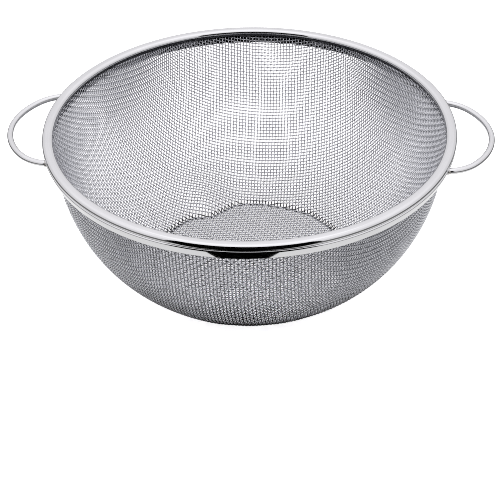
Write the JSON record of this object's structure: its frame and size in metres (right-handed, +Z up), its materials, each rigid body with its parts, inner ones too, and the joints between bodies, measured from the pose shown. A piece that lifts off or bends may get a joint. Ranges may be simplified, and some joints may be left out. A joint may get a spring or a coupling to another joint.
{
  "type": "basket strainer",
  "caption": "Deep round strainer basket of woven steel wire with a folded rim, a flat foot and two fixed wire loop handles.",
  "frame": {"origin": "on the basket's axis, in the plane that the foot stands on", "axes": "+Z up out of the open mouth, +X through the middle of the right handle, -Y towards the front"},
  "size_m": [0.2558, 0.216, 0.091],
  "materials": {
    "mesh": "bright drawn stainless wire 0.6 mm thick, plain weave, 14 mesh",
    "rim": "mirror polished stainless sheet",
    "core_wire": "plain drawn wire",
    "handles": "polished stainless wire",
    "welds": "dressed weld bead"
  },
  "bodies": {
    "root": {"mesh_basket": "mesh", "rim_band": "rim", "rim_core_wire": "core_wire", "left_handle": "handles", "right_handle": "handles", "left_handle_front_weld": "welds", "left_handle_back_weld": "welds", "right_handle_front_weld": "welds", "right_handle_back_weld": "welds"}
  },
  "joints": []
}
